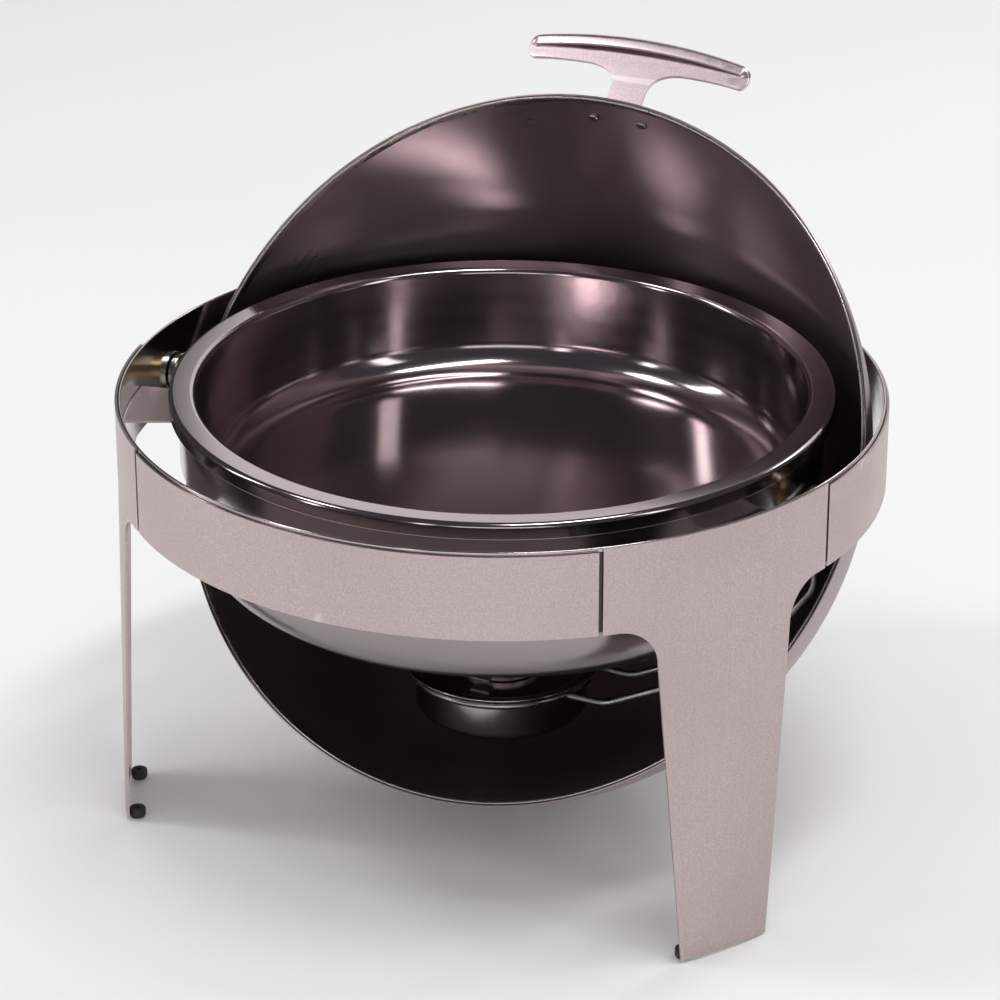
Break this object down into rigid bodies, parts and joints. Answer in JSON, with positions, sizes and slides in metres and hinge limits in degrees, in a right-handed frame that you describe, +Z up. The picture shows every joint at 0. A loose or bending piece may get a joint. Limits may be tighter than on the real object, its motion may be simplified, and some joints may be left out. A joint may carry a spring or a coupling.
{
  "type": "roll top chafer",
  "caption": "Round buffet warmer: a satin steel band on three flared plate legs, a dome lid that rolls back on side pivots, nested pans, and a fuel burner in a wire cradle.",
  "frame": {"origin": "centre of the underside of the whole object's box, on the table, with the lid rolled back", "axes": "+Z up, -Y is the serving side in front, X runs along the lid's pivot line"},
  "size_m": [0.45, 0.4544, 0.42],
  "materials": {
    "satin_steel": "fine satin grain, slightly warm",
    "polished_steel": "mirror-polished stainless steel",
    "bright_steel": "bright drawn wire and turned hardware",
    "brass": "turned brass, light tarnish",
    "black_rubber": "matte moulded rubber",
    "tin": "thin tinplate"
  },
  "bodies": {
    "frame": {"panel_front": "satin_steel", "panel_left": "satin_steel", "panel_right": "satin_steel", "leg_left": "satin_steel", "leg_right": "satin_steel", "leg_back": "satin_steel", "side_shelf_left": "satin_steel", "side_shelf_right": "satin_steel", "hoop": "polished_steel", "carrier_ring": "polished_steel", "cradle_ring": "bright_steel", "cradle_arm_left": "bright_steel", "cradle_arm_right": "bright_steel", "pivot_stud_left": "bright_steel", "pivot_stud_right": "bright_steel", "pivot_washer_left": "bright_steel", "pivot_washer_right": "bright_steel", "pivot_nut_left": "brass", "pivot_nut_right": "brass", "lid_bumper_left": "black_rubber", "lid_bumper_right": "black_rubber", "foot_left_a": "black_rubber", "foot_left_b": "black_rubber", "foot_right_a": "black_rubber", "foot_right_b": "black_rubber", "foot_back_a": "black_rubber", "foot_back_b": "black_rubber"},
    "lid": {"lid_dome": "polished_steel", "lid_rim": "bright_steel", "lid_ear_left": "bright_steel", "lid_ear_right": "bright_steel", "pivot_bush_left": "brass", "pivot_bush_right": "brass", "ear_rivet_left_front": "bright_steel", "ear_rivet_left_rear": "bright_steel", "ear_rivet_right_front": "bright_steel", "ear_rivet_right_rear": "bright_steel", "handle_rivet_left": "bright_steel", "handle_rivet_right": "bright_steel", "lid_handle": "satin_steel"},
    "water_pan": {"water_pan": "polished_steel"},
    "food_pan": {"food_pan": "polished_steel"},
    "burner": {"burner_cup": "polished_steel", "fuel_can": "tin", "burner_cover": "polished_steel", "snuffer_pin": "bright_steel"},
    "snuffer": {"snuffer_cap": "satin_steel"}
  },
  "joints": [
    {"name": "lid_roll", "type": "hinge", "parent": "frame", "child": "lid", "pos_m": [0, -0.00225, 0.2334], "axis": [-1, 0, 0], "range_deg": [-124.5, 25.5]},
    {"name": "water_pan_lift", "type": "slide", "parent": "frame", "child": "water_pan", "axis": [0, 0, 1], "range_m": [0, 0.012]},
    {"name": "food_pan_lift", "type": "slide", "parent": "water_pan", "child": "food_pan", "axis": [0, 0, 1], "range_m": [0, 0.035]},
    {"name": "burner_lift", "type": "slide", "parent": "frame", "child": "burner", "axis": [0, 0, 1], "range_m": [0, 0.012]},
    {"name": "snuffer_flip", "type": "hinge", "parent": "burner", "child": "snuffer", "pos_m": [0, 0.02775, 0.0866], "axis": [-1, 0, 0], "range_deg": [0, 65]}
  ]
}
